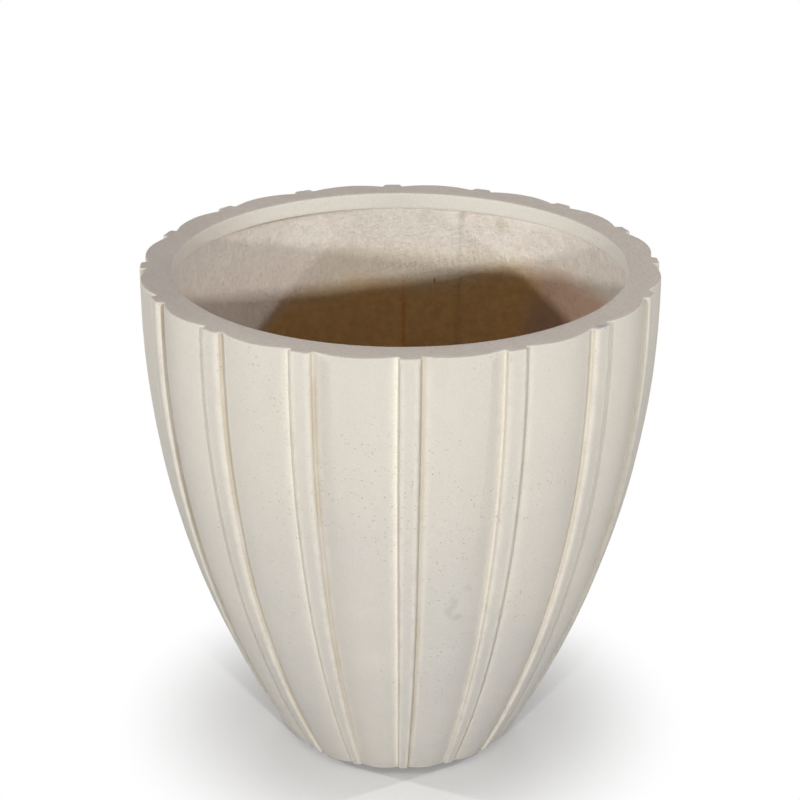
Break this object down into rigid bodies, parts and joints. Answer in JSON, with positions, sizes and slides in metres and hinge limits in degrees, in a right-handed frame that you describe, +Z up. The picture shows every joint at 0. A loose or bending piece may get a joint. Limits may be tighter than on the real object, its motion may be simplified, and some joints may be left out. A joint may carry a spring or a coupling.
{
  "type": "floor planter",
  "caption": "Round fluted floor planter with broad lobes, narrow ribs, a flat rim, a lined inside and a drain with a pull-out plug.",
  "frame": {"origin": "on the ground under the middle of the planter", "axes": "+Z up along the planter's axis; a rib lies on each of +X, +Y, -X and -Y; -Y is the front"},
  "size_m": [0.5084, 0.5084, 0.508],
  "materials": {
    "cast_face": "matte cream cast stone with fine pinholes",
    "lining": "rough fibre-reinforced lining, beige to brown",
    "floor_cast": "rough trowelled cast floor",
    "sleeve_plastic": "matte black moulded plastic",
    "plug_rubber": "matte black moulded rubber",
    "foot_rubber": "matte dark grey rubber"
  },
  "bodies": {
    "vessel": {"face_shell": "cast_face", "backing_wall": "lining", "floor_slab": "floor_cast", "drain_bush": "sleeve_plastic", "foot_pad_1": "foot_rubber", "foot_pad_2": "foot_rubber", "foot_pad_3": "foot_rubber", "foot_pad_4": "foot_rubber"},
    "plug": {"drain_plug": "plug_rubber"}
  },
  "joints": [
    {"name": "plug_pull", "type": "slide", "parent": "vessel", "child": "plug", "axis": [0, 0, 1], "range_m": [0, 0.5]}
  ]
}
